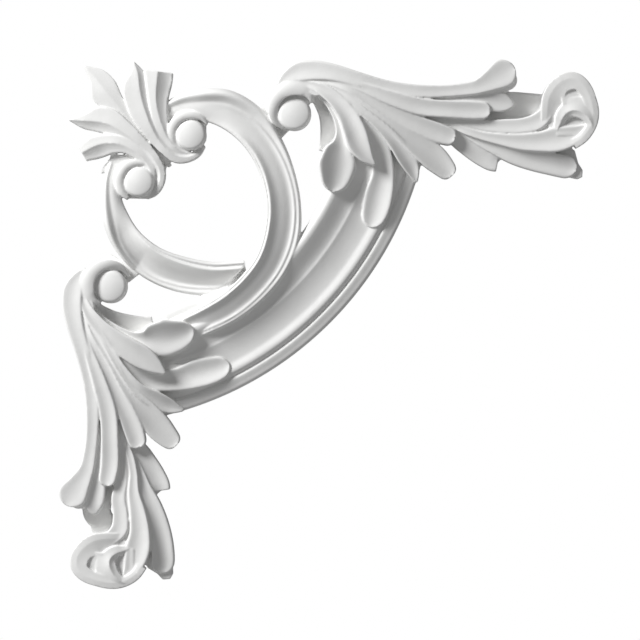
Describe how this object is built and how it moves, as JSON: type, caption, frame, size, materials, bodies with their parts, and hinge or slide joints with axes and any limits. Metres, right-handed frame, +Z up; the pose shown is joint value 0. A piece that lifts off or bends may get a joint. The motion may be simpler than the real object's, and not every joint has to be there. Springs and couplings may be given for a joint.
{
  "type": "corner onlay",
  "caption": "Moulded corner appliqué with acanthus arms, a curved rail between them, crossing stems and a palmette at the corner, glued flat to a panel, door or ceiling",
  "frame": {"origin": "on the flat back face, behind the middle of the curved rail", "axes": "+Y into the wall the onlay is fixed to, so the carving faces -Y; +X right along the top arm; +Z up"},
  "size_m": [0.27, 0.0228, 0.2646],
  "materials": {
    "primed_polyurethane": "matt white primer"
  },
  "bodies": {
    "root": {"corner_onlay": "primed_polyurethane"}
  },
  "joints": []
}
